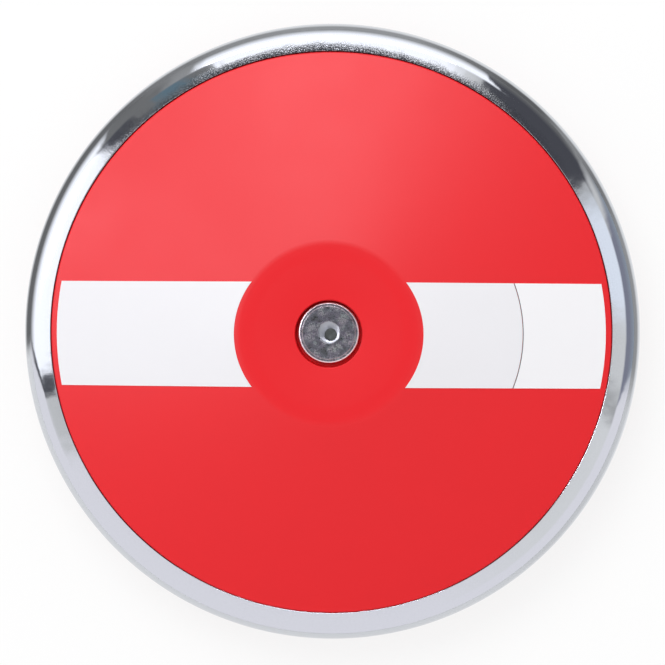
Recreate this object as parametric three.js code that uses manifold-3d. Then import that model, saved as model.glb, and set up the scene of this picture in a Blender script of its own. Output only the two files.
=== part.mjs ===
// A one kilogram competition discus with a heavy steel rim. Two ribbed plastic side plates sit in
// rebates in the rim, and a flat headed screw and its sleeve nut clamp them through the middle over a
// stack of steel trim weights. One face carries a band of plain labels.
// Sizes are millimetres. The disc lies flat: +Z is its axis and points out of the labelled face, +X
// runs along the band of labels, and the origin is the middle of the disc.
import * as THREE from "three";
import { mergeVertices } from "three/addons/utils/BufferGeometryUtils.js";
import Module from "manifold-3d";

const wasm = await Module();
wasm.setup();

// Overall form of the disc
const discDiameter = 181;
const discThickness = 38;
const flatDiameter = 53.2;
const flatEdgeRadius = 8;
const edgeRadius = 6.2;

// Air left between pieces that touch on the real disc
const seatGap = 0.3;
const labelGap = 0.05;

// Steel rim
const rimBand = 8.2;
const webWidth = 12.3;
const webThickness = 7;
const webChamfer = 0.8;
const seamBreak = 0.2;

// Side plates
const plateWall = 3;
const spigotWall = 2.4;
const spigotChamfer = 0.6;
const bossWall = 3.6;
const pocketDiameter = 19.4;
const pocketBreak = 0.25;
const ribCount = 12;
const ribThickness = 2;
const hoopShare = 0.6;
const hoopThickness = 2;
const hoopDepth = 5;

// Centre screw and sleeve nut. The pair sits a little off the middle of its pocket, towards +Y.
const headClearance = 0.9;
const headThickness = 2.4;
const headRecess = 1.3;
const headChamferWidth = 1;
const headChamferDepth = 0.4;
const screwDrift = 0.23;
const sleeveWall = 1.2;
const sleeveTop = 6;
const shankDiameter = 8;
const shankEndGap = 1;
const shankChamfer = 0.8;
const keyAcrossFlats = 6;
const keyDepth = 4;
const keyMouthBreak = 0.25;
const keyFloorAngle = THREE.MathUtils.degToRad(31);
const keyBacking = 2.5;

// Trim weights: steel washers that bring the disc up to its legal weight
const weightCount = 4;
const weightDiameter = 44;
const weightThickness = 1.5;
const weightChamfer = 0.3;

// Labels, which follow the taper of the front plate
const labelThickness = 0.12;
const labelHeight = 30.5;
const labelStandoff = 0.9;
const labelHollowRadius = 25;
const labelMargin = 2;
const labelDrop = 0.2;
const dividerShare = 0.542;
const dividerRadius = 42.5;
const dividerGap = 0.1;
const rightLabelTurn = THREE.MathUtils.degToRad(0.6);

// How finely the round forms are cut
const roundSteps = 60;
const smallRoundSteps = 32;
const edgeSteps = 8;
const flatEdgeSteps = 3;
const labelArcSteps = 12;
const overrun = 1;

// The taper is the straight line from the rim of the flat to where it just touches the round edge.
const flatHeight = discThickness / 2;
const flatRadius = flatDiameter / 2;
const edgeCentreRadius = discDiameter / 2 - edgeRadius;
const taperRun = edgeCentreRadius - flatRadius;
const taperAngle = Math.atan2(flatHeight, taperRun) - Math.asin(edgeRadius / Math.hypot(taperRun, flatHeight));

// Places that the plates, the rim, the weights and the fasteners share
const seatRadius = discDiameter / 2 - rimBand;
const webHeight = webThickness / 2;
const webBoreRadius = seatRadius - webWidth;
const spigotRadius = webBoreRadius - seatGap;
const plateFoot = seatGap / 2;
const stackHeight = (weightCount * weightThickness + (weightCount - 1) * seatGap) / 2;
const bossFoot = stackHeight + seatGap;
const headTop = flatHeight - headRecess;
const headUnder = headTop - headThickness;
const pocketFloor = headUnder - seatGap;
const pocketRadius = pocketDiameter / 2;
const bossRadius = pocketRadius + bossWall;
const headRadius = pocketRadius - headClearance;
const shankRadius = shankDiameter / 2;
const nutBoreRadius = shankRadius + seatGap;
const sleeveRadius = nutBoreRadius + sleeveWall;
const throughRadius = sleeveRadius + screwDrift + seatGap;
const keyRadius = keyAcrossFlats / 2;
const keyFloorDepth = keyRadius * Math.tan(keyFloorAngle);
const sleeveFloor = -(headTop - keyDepth - keyFloorDepth - keyBacking);
const labelReach = flatRadius + labelStandoff;
const labelOuterRadius = seatRadius - labelMargin;
const dividerReach = labelReach + (labelOuterRadius - labelReach) * dividerShare;

const steel = new THREE.MeshStandardMaterial({ color: 0xd3d6dc, roughness: 0.16, metalness: 1 });
const zincSteel = new THREE.MeshStandardMaterial({ color: 0x8f8d95, roughness: 0.35, metalness: 1 });
const redPlastic = new THREE.MeshStandardMaterial({ color: 0xe8353b, roughness: 0.45, metalness: 0 });
const whiteVinyl = new THREE.MeshStandardMaterial({ color: 0xefeef2, roughness: 0.4, metalness: 0 });

// A geometry as a solid that can be joined and cut: only its positions, with shared corners merged and
// the empty triangles at an axis left out.
function toSolid(geometry) {
  geometry.deleteAttribute("normal");
  geometry.deleteAttribute("uv");
  const merged = mergeVertices(geometry);
  const corners = Array.from(merged.index.array);
  const triangles = [];
  for (let i = 0; i < corners.length; i += 3) {
    const [a, b, c] = corners.slice(i, i + 3);
    if (a !== b && b !== c && c !== a) triangles.push(a, b, c);
  }
  return new wasm.Manifold(
    new wasm.Mesh({
      numProp: 3,
      vertProperties: merged.attributes.position.array,
      triVerts: new Uint32Array(triangles),
    }),
  );
}

// A closed outline of radius and height, turned once round the Z axis
function revolve(outline, steps) {
  const loop = outline.map(([radius, height]) => new THREE.Vector2(radius, height));
  if (THREE.ShapeUtils.area(loop) < 0) loop.reverse();
  loop.push(loop[0].clone());
  const turned = new THREE.LatheGeometry(loop, steps);
  turned.rotateX(Math.PI / 2);
  return toSolid(turned);
}

// A length of round or six sided bar on the Z axis, with its own radius at each end
function bar(lowRadius, highRadius, low, high, steps) {
  const length = new THREE.CylinderGeometry(highRadius, lowRadius, high - low, steps);
  length.rotateX(Math.PI / 2);
  length.translate(0, 0, (low + high) / 2);
  return toSolid(length);
}

function piece(name, solid, material) {
  const { vertProperties, triVerts } = solid.getMesh();
  const geometry = new THREE.BufferGeometry();
  geometry.setAttribute("position", new THREE.BufferAttribute(vertProperties, 3));
  geometry.setIndex(new THREE.BufferAttribute(triVerts, 1));
  geometry.computeVertexNormals();
  const mesh = new THREE.Mesh(geometry, material);
  mesh.name = name;
  return mesh;
}

// Height of the tapered face over the mid plane
function taperHeight(radius) {
  return flatHeight - (radius - flatRadius) * Math.tan(taperAngle);
}

// Height of the underside of the plate's wall, under the flat and under the taper
function undersideHeight(radius) {
  return Math.min(flatHeight - plateWall, taperHeight(radius) - plateWall / Math.cos(taperAngle));
}

// The soft edge where the flat turns into the taper
function flatEdge() {
  const inset = flatEdgeRadius * Math.tan(taperAngle / 2);
  const points = [];
  for (let i = 0; i <= flatEdgeSteps; i++) {
    const turn = (taperAngle * i) / flatEdgeSteps;
    const radius = flatRadius - inset + flatEdgeRadius * Math.sin(turn);
    points.push([radius, flatHeight - flatEdgeRadius * (1 - Math.cos(turn))]);
  }
  return points;
}

// One steel ring: a round edge, the first stretch of each taper, a rebate on each side for a plate,
// and an inner web that carries most of the weight and centres the plates.
function rim() {
  const upper = [];
  for (let i = 0; i <= edgeSteps; i++) {
    const turn = ((Math.PI / 2 - taperAngle) * i) / edgeSteps;
    upper.push([edgeCentreRadius + edgeRadius * Math.cos(turn), edgeRadius * Math.sin(turn)]);
  }
  upper.push(
    [seatRadius + seamBreak, taperHeight(seatRadius + seamBreak)],
    [seatRadius, taperHeight(seatRadius) - seamBreak],
    [seatRadius, webHeight],
    [webBoreRadius + webChamfer, webHeight],
    [webBoreRadius, webHeight - webChamfer],
  );
  const lower = upper
    .slice(1)
    .reverse()
    .map(([radius, height]) => [radius, -height]);
  return revolve([...upper, ...lower], roundSteps);
}

// The shell of a side plate: pocket and bore in the middle, flat, taper, a lip that lies in the rim's
// rebate, a spigot ring inside the rim's web, a hoop between it and the boss, and the boss itself, which
// goes down to the weights.
function plateShell() {
  const plateRadius = seatRadius - seatGap;
  const lipUnder = webHeight + seatGap;
  const spigotInside = spigotRadius - spigotWall;
  const hoopRadius = bossRadius + (spigotInside - bossRadius) * hoopShare;
  const hoopOutside = hoopRadius + hoopThickness / 2;
  const hoopInside = hoopRadius - hoopThickness / 2;
  const hoopFoot = undersideHeight(hoopOutside) - hoopDepth;
  return revolve(
    [
      [throughRadius, pocketFloor],
      [pocketRadius, pocketFloor],
      [pocketRadius, flatHeight - pocketBreak],
      [pocketRadius + pocketBreak, flatHeight],
      ...flatEdge(),
      [plateRadius - seamBreak, taperHeight(plateRadius - seamBreak)],
      [plateRadius, taperHeight(plateRadius) - seamBreak],
      [plateRadius, lipUnder],
      [spigotRadius, lipUnder],
      [spigotRadius, plateFoot + spigotChamfer],
      [spigotRadius - spigotChamfer, plateFoot],
      [spigotInside, plateFoot],
      [spigotInside, undersideHeight(spigotInside)],
      [hoopOutside, undersideHeight(hoopOutside)],
      [hoopOutside, hoopFoot],
      [hoopInside, hoopFoot],
      [hoopInside, undersideHeight(hoopInside)],
      [flatRadius - plateWall * Math.tan(taperAngle / 2), flatHeight - plateWall],
      [bossRadius, flatHeight - plateWall],
      [bossRadius, bossFoot],
      [throughRadius, bossFoot],
    ],
    roundSteps,
  );
}

// One rib on edge along +X, from the boss to the spigot ring, stepped up to clear the weights
function rib() {
  const inner = bossRadius - bossWall / 2;
  const outer = spigotRadius - spigotWall / 2;
  const weightEdge = weightDiameter / 2 + seatGap;
  const buried = plateWall / 2;
  const outline = new THREE.Shape();
  outline.moveTo(inner, bossFoot);
  outline.lineTo(weightEdge, bossFoot);
  outline.lineTo(weightEdge, plateFoot);
  outline.lineTo(outer, plateFoot);
  outline.lineTo(outer, undersideHeight(outer) + buried);
  outline.lineTo(flatRadius, undersideHeight(flatRadius) + buried);
  outline.lineTo(inner, undersideHeight(inner) + buried);
  const pushed = new THREE.ExtrudeGeometry(outline, { depth: ribThickness, bevelEnabled: false });
  pushed.rotateX(Math.PI / 2);
  pushed.translate(0, ribThickness / 2, 0);
  return pushed;
}

// A whole side plate, as moulded: the shell with its ribs
function sidePlate() {
  let plate = plateShell();
  for (let i = 0; i < ribCount; i++) {
    const turned = rib();
    turned.rotateZ(((i + 1 / 2) * 2 * Math.PI) / ribCount);
    plate = plate.add(toSolid(turned));
  }
  return plate;
}

// The hollow that a key leaves in a head: six flats, a drilled floor and a countersunk mouth, cut down
// from the face at headTop
function keySocket() {
  const cornerRadius = keyRadius / Math.cos(Math.PI / 6);
  const mouthRadius = keyRadius + keyMouthBreak;
  const floor = headTop - keyDepth;
  const flats = bar(cornerRadius, cornerRadius, floor, headTop + overrun, 6);
  const drilled = bar(0, keyRadius, floor - keyFloorDepth, floor, smallRoundSteps);
  const mouthFoot = headTop - keyMouthBreak;
  const mouth = bar(keyRadius, mouthRadius + overrun, mouthFoot, headTop + overrun, smallRoundSteps);
  return flats.add(drilled).add(mouth);
}

// The flat head that the screw and the nut share, as the top of a turned outline
function headOutline() {
  return [
    [0, headTop],
    [headRadius - headChamferWidth, headTop],
    [headRadius, headTop - headChamferDepth],
    [headRadius, headUnder],
    [sleeveRadius, headUnder],
  ];
}

function centreScrew() {
  const shoulder = sleeveTop + seatGap;
  const shankEnd = sleeveFloor + shankEndGap;
  const turned = revolve(
    [
      ...headOutline(),
      [sleeveRadius, shoulder],
      [shankRadius, shoulder],
      [shankRadius, shankEnd + shankChamfer],
      [shankRadius - shankChamfer, shankEnd],
      [0, shankEnd],
    ],
    smallRoundSteps,
  );
  return turned.subtract(keySocket());
}

// Drawn head up, as the screw is, and turned over when it is placed
function sleeveNut() {
  const turned = revolve(
    [
      ...headOutline(),
      [sleeveRadius, -sleeveTop],
      [nutBoreRadius, -sleeveTop],
      [nutBoreRadius, -sleeveFloor],
      [0, -sleeveFloor],
    ],
    smallRoundSteps,
  );
  return turned.subtract(keySocket());
}

// A washer from z = 0 up, with its corners broken
function trimWeight() {
  const outer = weightDiameter / 2;
  const high = weightThickness - weightChamfer;
  return revolve(
    [
      [throughRadius, 0],
      [outer - weightChamfer, 0],
      [outer, weightChamfer],
      [outer, high],
      [outer - weightChamfer, weightThickness],
      [throughRadius, weightThickness],
    ],
    smallRoundSteps,
  );
}

// A label on the +X side between two arcs that bulge outwards, each given by its reach along X and its
// radius. It is cut from a thin skin over the plate's taper.
function label(innerReach, innerRadius, outerReach, outerRadius, turn) {
  const low = labelGap / Math.cos(taperAngle);
  const high = (labelGap + labelThickness) / Math.cos(taperAngle);
  const skin = revolve(
    [
      [flatRadius, taperHeight(flatRadius) + low],
      [seatRadius, taperHeight(seatRadius) + low],
      [seatRadius, taperHeight(seatRadius) + high],
      [flatRadius, taperHeight(flatRadius) + high],
    ],
    roundSteps,
  );
  const innerSweep = Math.asin(labelHeight / 2 / innerRadius);
  const outerSweep = Math.asin(labelHeight / 2 / outerRadius);
  const outline = new THREE.Shape();
  outline.absarc(outerReach - outerRadius, 0, outerRadius, -outerSweep, outerSweep, false);
  outline.absarc(innerReach - innerRadius, 0, innerRadius, innerSweep, -innerSweep, true);
  const cutter = new THREE.ExtrudeGeometry(outline, {
    depth: discThickness,
    bevelEnabled: false,
    curveSegments: labelArcSteps,
  });
  cutter.rotateZ(turn);
  cutter.translate(0, -labelDrop, 0);
  return skin.intersect(toSolid(cutter));
}

const leftBand = label(labelReach, labelHollowRadius, labelOuterRadius, labelOuterRadius, Math.PI);
const rightBandInner = label(labelReach, labelHollowRadius, dividerReach, dividerRadius, -rightLabelTurn);
const rightBandOuter = label(
  dividerReach + dividerGap,
  dividerRadius + dividerGap,
  labelOuterRadius,
  labelOuterRadius,
  -rightLabelTurn,
);

const discus = new THREE.Group();
discus.name = "discus";
discus.add(piece("rim", rim(), steel));

const frontPlate = piece("front_side_plate", sidePlate(), redPlastic);
const backPlate = frontPlate.clone();
backPlate.name = "back_side_plate";
backPlate.rotation.x = Math.PI;
discus.add(frontPlate, backPlate);

const weights = new THREE.Group();
for (let i = 0; i < weightCount; i++) {
  const weight = piece(`trim_weight_${i + 1}`, trimWeight(), zincSteel);
  weight.position.z = -stackHeight + i * (weightThickness + seatGap);
  weights.add(weight);
}
discus.add(weights);

const fasteners = new THREE.Group();
fasteners.position.y = screwDrift;
const nut = piece("centre_sleeve_nut", sleeveNut(), zincSteel);
nut.rotation.x = Math.PI;
fasteners.add(piece("centre_screw", centreScrew(), zincSteel), nut);
discus.add(fasteners);

const labels = new THREE.Group();
labels.add(
  piece("label_left", leftBand, whiteVinyl),
  piece("label_right_inner", rightBandInner, whiteVinyl),
  piece("label_right_outer", rightBandOuter, whiteVinyl),
);
discus.add(labels);

export default discus;
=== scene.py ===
"""A one kilogram competition discus on a plain pale floor: a polished plated rim, two red moulded side
plates, a flat headed centre screw with its sleeve nut, and a band of plain white labels."""

import math
from functools import partial

import bmesh
import bpy
from bpy.props import FloatProperty, FloatVectorProperty, IntProperty, PointerProperty
from mathutils import Matrix, Vector


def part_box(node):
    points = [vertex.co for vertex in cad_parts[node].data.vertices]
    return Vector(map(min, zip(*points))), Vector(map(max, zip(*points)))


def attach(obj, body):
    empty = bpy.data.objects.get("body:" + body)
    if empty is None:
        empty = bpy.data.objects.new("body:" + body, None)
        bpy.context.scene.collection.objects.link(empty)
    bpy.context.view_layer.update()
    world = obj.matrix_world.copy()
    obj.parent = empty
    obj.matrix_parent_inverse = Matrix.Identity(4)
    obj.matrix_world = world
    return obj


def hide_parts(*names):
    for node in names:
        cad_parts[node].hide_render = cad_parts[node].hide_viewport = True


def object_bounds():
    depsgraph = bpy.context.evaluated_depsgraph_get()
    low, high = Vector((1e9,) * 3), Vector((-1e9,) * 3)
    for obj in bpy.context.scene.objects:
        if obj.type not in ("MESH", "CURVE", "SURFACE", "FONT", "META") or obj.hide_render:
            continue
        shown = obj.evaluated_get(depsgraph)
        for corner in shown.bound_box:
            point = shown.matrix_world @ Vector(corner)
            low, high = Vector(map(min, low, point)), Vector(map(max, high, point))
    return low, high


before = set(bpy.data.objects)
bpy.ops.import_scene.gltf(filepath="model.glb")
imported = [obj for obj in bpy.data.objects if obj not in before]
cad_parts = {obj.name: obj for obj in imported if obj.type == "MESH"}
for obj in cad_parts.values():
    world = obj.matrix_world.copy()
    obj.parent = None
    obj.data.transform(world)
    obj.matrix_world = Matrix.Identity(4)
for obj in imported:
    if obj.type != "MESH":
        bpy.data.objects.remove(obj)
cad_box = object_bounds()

bl_info = {
    "name": "Competition discus",
    "version": (1, 0, 0),
    "blender": (4, 5, 0),
    "location": "View3D > Sidebar > Discus",
    "description": "Builds a plated steel discus with moulded side plates round its packed frame",
    "category": "Add Mesh",
}

MM = 0.001
TOUCHING = 0.001 * MM
CORNER_SEGMENTS = 6
SHARP_FROM = math.radians(35)


def corner(node, side, axis):
    """One coordinate of a node's box: side 0 is its lowest corner and 1 its highest."""
    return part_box(node)[side]["xyz".index(axis)]


def length(name, description, default):
    """A size in metres, for a property group."""
    return FloatProperty(name=name, description=description, default=default, unit="LENGTH")


def angle(name, description, degrees):
    """An angle that is written in degrees, for a property group."""
    return FloatProperty(name=name, description=description, default=math.radians(degrees), unit="ROTATION")


def number(name, description, default, unit="NONE"):
    """A number, with a unit where it has one, for a property group."""
    return FloatProperty(name=name, description=description, default=default, unit=unit)


def count(name, description, default):
    """A whole number of facets or pieces, for a property group."""
    return IntProperty(name=name, description=description, default=default, min=1)


def spot(name, description, default):
    """A point, for a property group."""
    return FloatVectorProperty(name=name, description=description, default=default, subtype="TRANSLATION")


def colour(name, description, hex_colour):
    """A colour that is written as sRGB hex, for a property group."""
    return FloatVectorProperty(
        name=name, description=description, default=linear(hex_colour)[:3], subtype="COLOR", min=0, max=1
    )


def linear(hex_colour):
    """An sRGB hex colour as linear red, green, blue and alpha."""
    channels = [int(hex_colour[i : i + 2], 16) / 255 for i in (1, 3, 5)]
    return [c / 12.92 if c <= 0.04045 else ((c + 0.055) / 1.055) ** 2.4 for c in channels] + [1]


def opaque(rgb):
    """A colour property with its alpha."""
    return [*rgb, 1]


class DiscSizes(bpy.types.PropertyGroup):
    """The form that the rim and the plates share"""

    radius: length("Radius", "From the axis to the edge of the rim", corner("rim", 1, "x"))
    flat_height: length("Flat height", "Half the thickness of the disc", corner("front_side_plate", 1, "z"))
    flat_radius: length("Flat radius", "From the axis to the turn into the taper", 26.6 * MM)
    flat_edge_radius: length("Flat edge radius", "Rounding of the turn into the taper", 8 * MM)
    edge_radius: length("Edge radius", "Rounding of the rim's edge", 6.2 * MM)
    seat_radius: length("Seat radius", "Radius of the rebate that holds a plate", 82.3 * MM)
    seat_gap: length("Seat gap", "Air between pieces that touch on the real disc", 0.3 * MM)
    turn_steps: count("Turn steps", "Facets round the disc", 288)


class RimSizes(bpy.types.PropertyGroup):
    """The plated steel ring"""

    web_height: length("Web height", "Half the thickness of the inner web", 3.5 * MM)
    web_bore: length("Web bore", "Radius of the opening inside the web", 70 * MM)
    web_chamfer: length("Web chamfer", "Rounding of the web's inner corners", 0.8 * MM)
    seam_break: length("Seam break", "Rounding of the corner at the seam", 0.14 * MM)
    crown: angle("Crown", "How far the shoulder's slope changes across it", 5.4)
    edge_steps: count("Edge steps", "Facets of the rounded edge", 40)
    shoulder_steps: count("Shoulder steps", "Facets of the shoulder", 12)
    strip_inset: length("Strip inset", "From the seam to the worn strip", 0.1 * MM)
    strip_narrow: length("Strip narrow", "Width of the worn strip where it is narrow", 2 * MM)
    strip_wide: length("Strip wide", "Width of the worn strip where it is wide", 3.2 * MM)
    strip_start: length("Strip start", "Y where the strip starts to show", 45 * MM)
    strip_full: length("Strip full", "Y where the strip shows in full", 78 * MM)
    plating: colour("Plating", "Colour of the polished plating", "#d0d3d8")
    # Painted shade: the darker colour of the floors of the pits.
    pit_floor_shade: colour("Pitted", "Colour of the floors of the pits in the worn strip", "#55565c")
    roughness: number("Roughness", "Roughness of the plating", 0.05)


class PlateSizes(bpy.types.PropertyGroup):
    """The two moulded side plates"""

    wall: length("Wall", "Thickness of the moulded wall", 3 * MM)
    pocket_radius: length("Pocket radius", "Radius of the round pocket for the head", 9.7 * MM)
    pocket_floor: length("Pocket floor", "Height of the pocket's floor", 15 * MM)
    pocket_break: length("Pocket break", "Rounding of the pocket's edge", 0.3 * MM)
    boss_wall: length("Boss wall", "Wall round the pocket", 3.6 * MM)
    boss_foot: length("Boss foot", "Height of the boss's foot over the middle", 3.75 * MM)
    bore_radius: length("Bore radius", "Radius of the hole for the sleeve", 6.03 * MM)
    lip_play: length("Lip play", "Mean gap between the lip and the rebate", 0.2 * MM)
    shift: length("Shift", "How far the lip's play lets the plates sit towards -Y", 0.1 * MM)
    lip_rounding: length("Lip rounding", "Rounding of the lip's outer edge", 0.5 * MM)
    spigot_wall: length("Spigot wall", "Wall of the ring that centres the plate", 2.4 * MM)
    foot: length("Foot", "Height of the spigot's foot over the middle", 0.15 * MM)
    hoop_share: number("Hoop share", "Place of the hoop, boss to spigot", 0.6)
    hoop_wall: length("Hoop wall", "Thickness of the inner hoop", 2 * MM)
    hoop_depth: length("Hoop depth", "How far the hoop stands out of the wall", 5 * MM)
    rib_wall: length("Rib wall", "Thickness of a rib where it meets the wall", 2 * MM)
    rib_count: count("Ribs", "Number of ribs", 12)
    rib_foot: number("Rib foot", "Thickness of a rib's foot as a share of the rib's", 0.75)
    inner_rounding: length("Inner rounding", "Fillets inside the moulding", 0.6 * MM)
    plastic: colour("Plastic", "Colour of the moulded plastic", "#e81922")
    # Painted shade: the deeper red of the pocket's wall.
    pocket_shade: colour("Pocket plastic", "Colour of the pocket's wall", "#d4000c")
    roughness: number("Roughness", "Roughness of the plastic", 0.45)


class FastenerSizes(bpy.types.PropertyGroup):
    """The centre screw and its sleeve nut"""

    head_top: length("Head top", "Height of the head's face", corner("centre_screw", 1, "z"))
    head_radius: length(
        "Head radius",
        "Radius of the head",
        (corner("centre_screw", 1, "x") - corner("centre_screw", 0, "x")) / 2,
    )
    drift: length(
        "Drift",
        "How far the pair sits off the disc's axis",
        (corner("centre_screw", 1, "y") + corner("centre_screw", 0, "y")) / 2,
    )
    head_thickness: length("Head thickness", "Thickness of the head", 2.4 * MM)
    band_width: length("Band width", "Width of the band round the face", 1.1 * MM)
    ring_depth: length("Ring depth", "Step between the face and the band", 0.09 * MM)
    band_slope: angle("Band slope", "Slope of the band", 4)
    bevel_width: length("Bevel width", "Width of the bevel outside the band", 0.42 * MM)
    bevel_slope: angle("Bevel slope", "Slope of that bevel", 17.5)
    edge_rounding: length("Edge rounding", "Rounding of the head's outer edge", 0.14 * MM)
    sleeve_radius: length("Sleeve radius", "Outer radius of the sleeve", 5.5 * MM)
    sleeve_bore: length("Sleeve bore", "Inner radius of the sleeve", 4.3 * MM)
    sleeve_top: length("Sleeve top", "Height where the sleeve ends", 6 * MM)
    sleeve_floor: length("Sleeve floor", "Depth where the sleeve's bore ends", 9.4 * MM)
    shank_radius: length("Shank radius", "Radius of the threaded shank", 4 * MM)
    shank_end: length("Shank end", "Depth of the end of the shank", corner("centre_screw", 0, "z"))
    thread_pitch: length("Thread pitch", "Pitch of the thread", 1.25 * MM)
    thread_depth: length("Thread depth", "Depth of the thread", 0.6 * MM)
    key_flats: length("Key flats", "Width of the key's hexagon across its flats", 6 * MM)
    key_depth: length("Key depth", "Depth of the hexagon's walls", 4 * MM)
    mouth_break: length("Mouth break", "Countersink round the hexagon", 0.25 * MM)
    pilot_radius: length("Pilot radius", "Radius of the drilled hole under the hexagon", 1.85 * MM)
    pilot_depth: length("Pilot depth", "Depth of that hole under the hexagon", 3 * MM)
    pilot_drift_x: length("Pilot drift X", "How far the hole sits off the socket's middle along X", 0.35 * MM)
    pilot_drift_y: length("Pilot drift Y", "How far the hole sits off the socket's middle along Y", -0.7 * MM)
    floor_slope: angle("Floor slope", "Slope of the floor down to the drilled hole", 31)
    head_steps: count("Head steps", "Facets round the head and the body", 96)
    socket_steps: count("Socket steps", "Facets round the socket's mouth and floor", 48)
    pilot_steps: count("Pilot steps", "Facets round the drilled hole", 32)
    thread_steps: count("Thread steps", "Facets of one turn of the thread", 36)
    zinc: colour("Zinc", "Colour of the zinc plating", "#888691")
    # Partly burnished metal, partly a painted pinkish highlight on the rolled edge and the step.
    burnished_and_highlit: colour("Burnished zinc", "Colour of the burnished edge", "#f6e8ea")
    broached: colour("Broached zinc", "Colour of the socket", "#c4c6ca")


class LabelSizes(bpy.types.PropertyGroup):
    """The band of labels"""

    height: length("Height", "Width of the band across the disc", 30.5 * MM)
    standoff: length("Standoff", "From the edge of the flat to the band", 0.9 * MM)
    margin: length("Margin", "From the band to the seam, with the gap there", 2 * MM)
    hollow_radius: length("Hollow radius", "Radius of the band's hollow inner ends", 25 * MM)
    drop: length("Drop", "How far the band sits off the middle", 0.2 * MM)
    turn: angle("Turn", "How far the right half is turned", -0.6)
    divider_share: number("Divider share", "Place of the divider", 0.542)
    divider_radius: length("Divider radius", "Radius of the divider's arc", 42.5 * MM)
    divider_gap: length("Divider gap", "Width of the cut at the divider", 0.1 * MM)
    divider_line: length("Divider line", "Width of the printed line", 0.22 * MM)
    lift: length("Lift", "Gap under the label", 0.05 * MM)
    thickness: length("Thickness", "Thickness of the label", 0.12 * MM)
    arc_steps: count("Arc steps", "Facets along the arc at each end", 48)
    cuts: count("Cuts", "Cuts across a label, so that it follows the taper", 40)
    vinyl: colour("Vinyl", "Colour of the label", "#ecebef")
    end_vinyl: colour("End vinyl", "Colour of the whiter end piece", "#f3f2f5")
    ink: colour("Ink", "Colour of the divider's line", "#667074")


class StageSizes(bpy.types.PropertyGroup):
    """The floor, the light and the camera"""

    floor_half: length("Floor half", "Half the width of the floor", 4)
    floor_gap: length("Floor gap", "From the disc down to the floor", 0.05 * MM)
    floor_lift: number("Floor lift", "Share of plain white that the camera sees in the floor", 0.8)
    # Inside this ring the floor glows plain white in reflections: painted light.
    bright_x: length("Bright X", "Middle of the bright floor round the disc along X", 6 * MM)
    bright_y: length("Bright Y", "Middle of the bright floor round the disc along Y", 10 * MM)
    bright_radius: length("Bright radius", "Radius of the bright floor that the edge mirrors", 96 * MM)
    bright_fade: length("Bright fade", "Width of the fade round the bright floor", 42 * MM)
    camera_place: spot("Camera", "Place of the camera", (0.0558, 0.0333, 1.198))
    camera_aim: spot("Aim", "Point that the camera looks at", (0.00026, -0.0002, 0))
    lens: number("Lens", "Focal length in millimetres", 220.8)
    sensor: number("Sensor", "Sensor width in millimetres", 36)
    key_azimuth: angle("Key azimuth", "Direction that the key light comes from", 112)
    key_elevation: angle("Key elevation", "Height of the key light over the floor", 60)
    key_distance: length("Key distance", "Distance of the key light", 1.4)
    key_width: length("Key width", "Width of the key light", 0.9)
    key_power: number("Key power", "Power of the key light", 7, "POWER")
    tube_elevation: angle("Tube elevation", "Height of the lamps inside the softboxes", 48)
    tube_distance: length("Tube distance", "Distance of the lamps inside the softboxes", 3)
    tube_height: length("Tube height", "Height of the lamps inside the softboxes", 0.9)
    tube_tone: colour("Tube tone", "Colour of the lamps inside the softboxes", "#f3f3ff")
    back_azimuth: angle("Back azimuth", "Direction of the lamp in the back softbox", 94)
    back_width: length("Back width", "Width of the lamp in the back softbox", 1.9)
    back_power: number("Back power", "Power of the back lamp", 50, "POWER")
    left_azimuth: angle("Left azimuth", "Direction of the lamp in the left softbox", 162)
    left_width: length("Left width", "Width of the lamp in the left softbox", 0.9)
    left_power: number("Left power", "Power of the left lamp", 34, "POWER")
    fill: number("Fill", "Even light on matt surfaces", 0.764)


def taper_angle(disc):
    """Slope of the tapered face: the line from the flat's rim that just touches the round edge."""
    run = disc.radius - disc.edge_radius - disc.flat_radius
    reach = math.hypot(run, disc.flat_height)
    return math.atan2(disc.flat_height, run) - math.asin(disc.edge_radius / reach)


def taper_height(disc, radius):
    """Height of the tapered face at a radius."""
    return disc.flat_height - (radius - disc.flat_radius) * math.tan(taper_angle(disc))


def add_node(tree, kind, inputs=(), stops=(), **settings):
    """Adds one shader node with its settings and links. Its inputs come by name, or in order as a list.
    Each is a value, a socket, or a node, which stands for its first output. A MapRange lists its value,
    the two ends that it comes from and the two that it goes to."""
    made = tree.nodes.new("ShaderNode" + kind)
    for name, value in settings.items():
        setattr(made, name, value)
    if isinstance(inputs, dict):
        pairs = [(made.inputs[name], value) for name, value in inputs.items()]
    else:
        pairs = zip([socket for socket in made.inputs if socket.enabled], inputs)
    for socket, value in pairs:
        if isinstance(value, bpy.types.Node):
            value = next(output for output in value.outputs if output.enabled)
        if isinstance(value, bpy.types.NodeSocket):
            tree.links.new(value, socket)
        else:
            socket.default_value = value
    for i, (position, value) in enumerate(stops):
        elements = made.color_ramp.elements
        element = elements[i] if i < len(elements) else elements.new(position)
        element.position = position
        element.color = value if hasattr(value, "__len__") else [value, value, value, 1]
    return made


def emptied(owner):
    """Clears the nodes of a material or world, and returns the function that adds new ones."""
    owner.use_nodes = True
    owner.node_tree.nodes.clear()
    return partial(add_node, owner.node_tree)


def from_axis(add, place):
    """The distance of a place from the Z axis."""
    flat = add("VectorMath", [place, (1, 1, 0)], operation="MULTIPLY")
    return add("VectorMath", [flat], operation="LENGTH")


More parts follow.
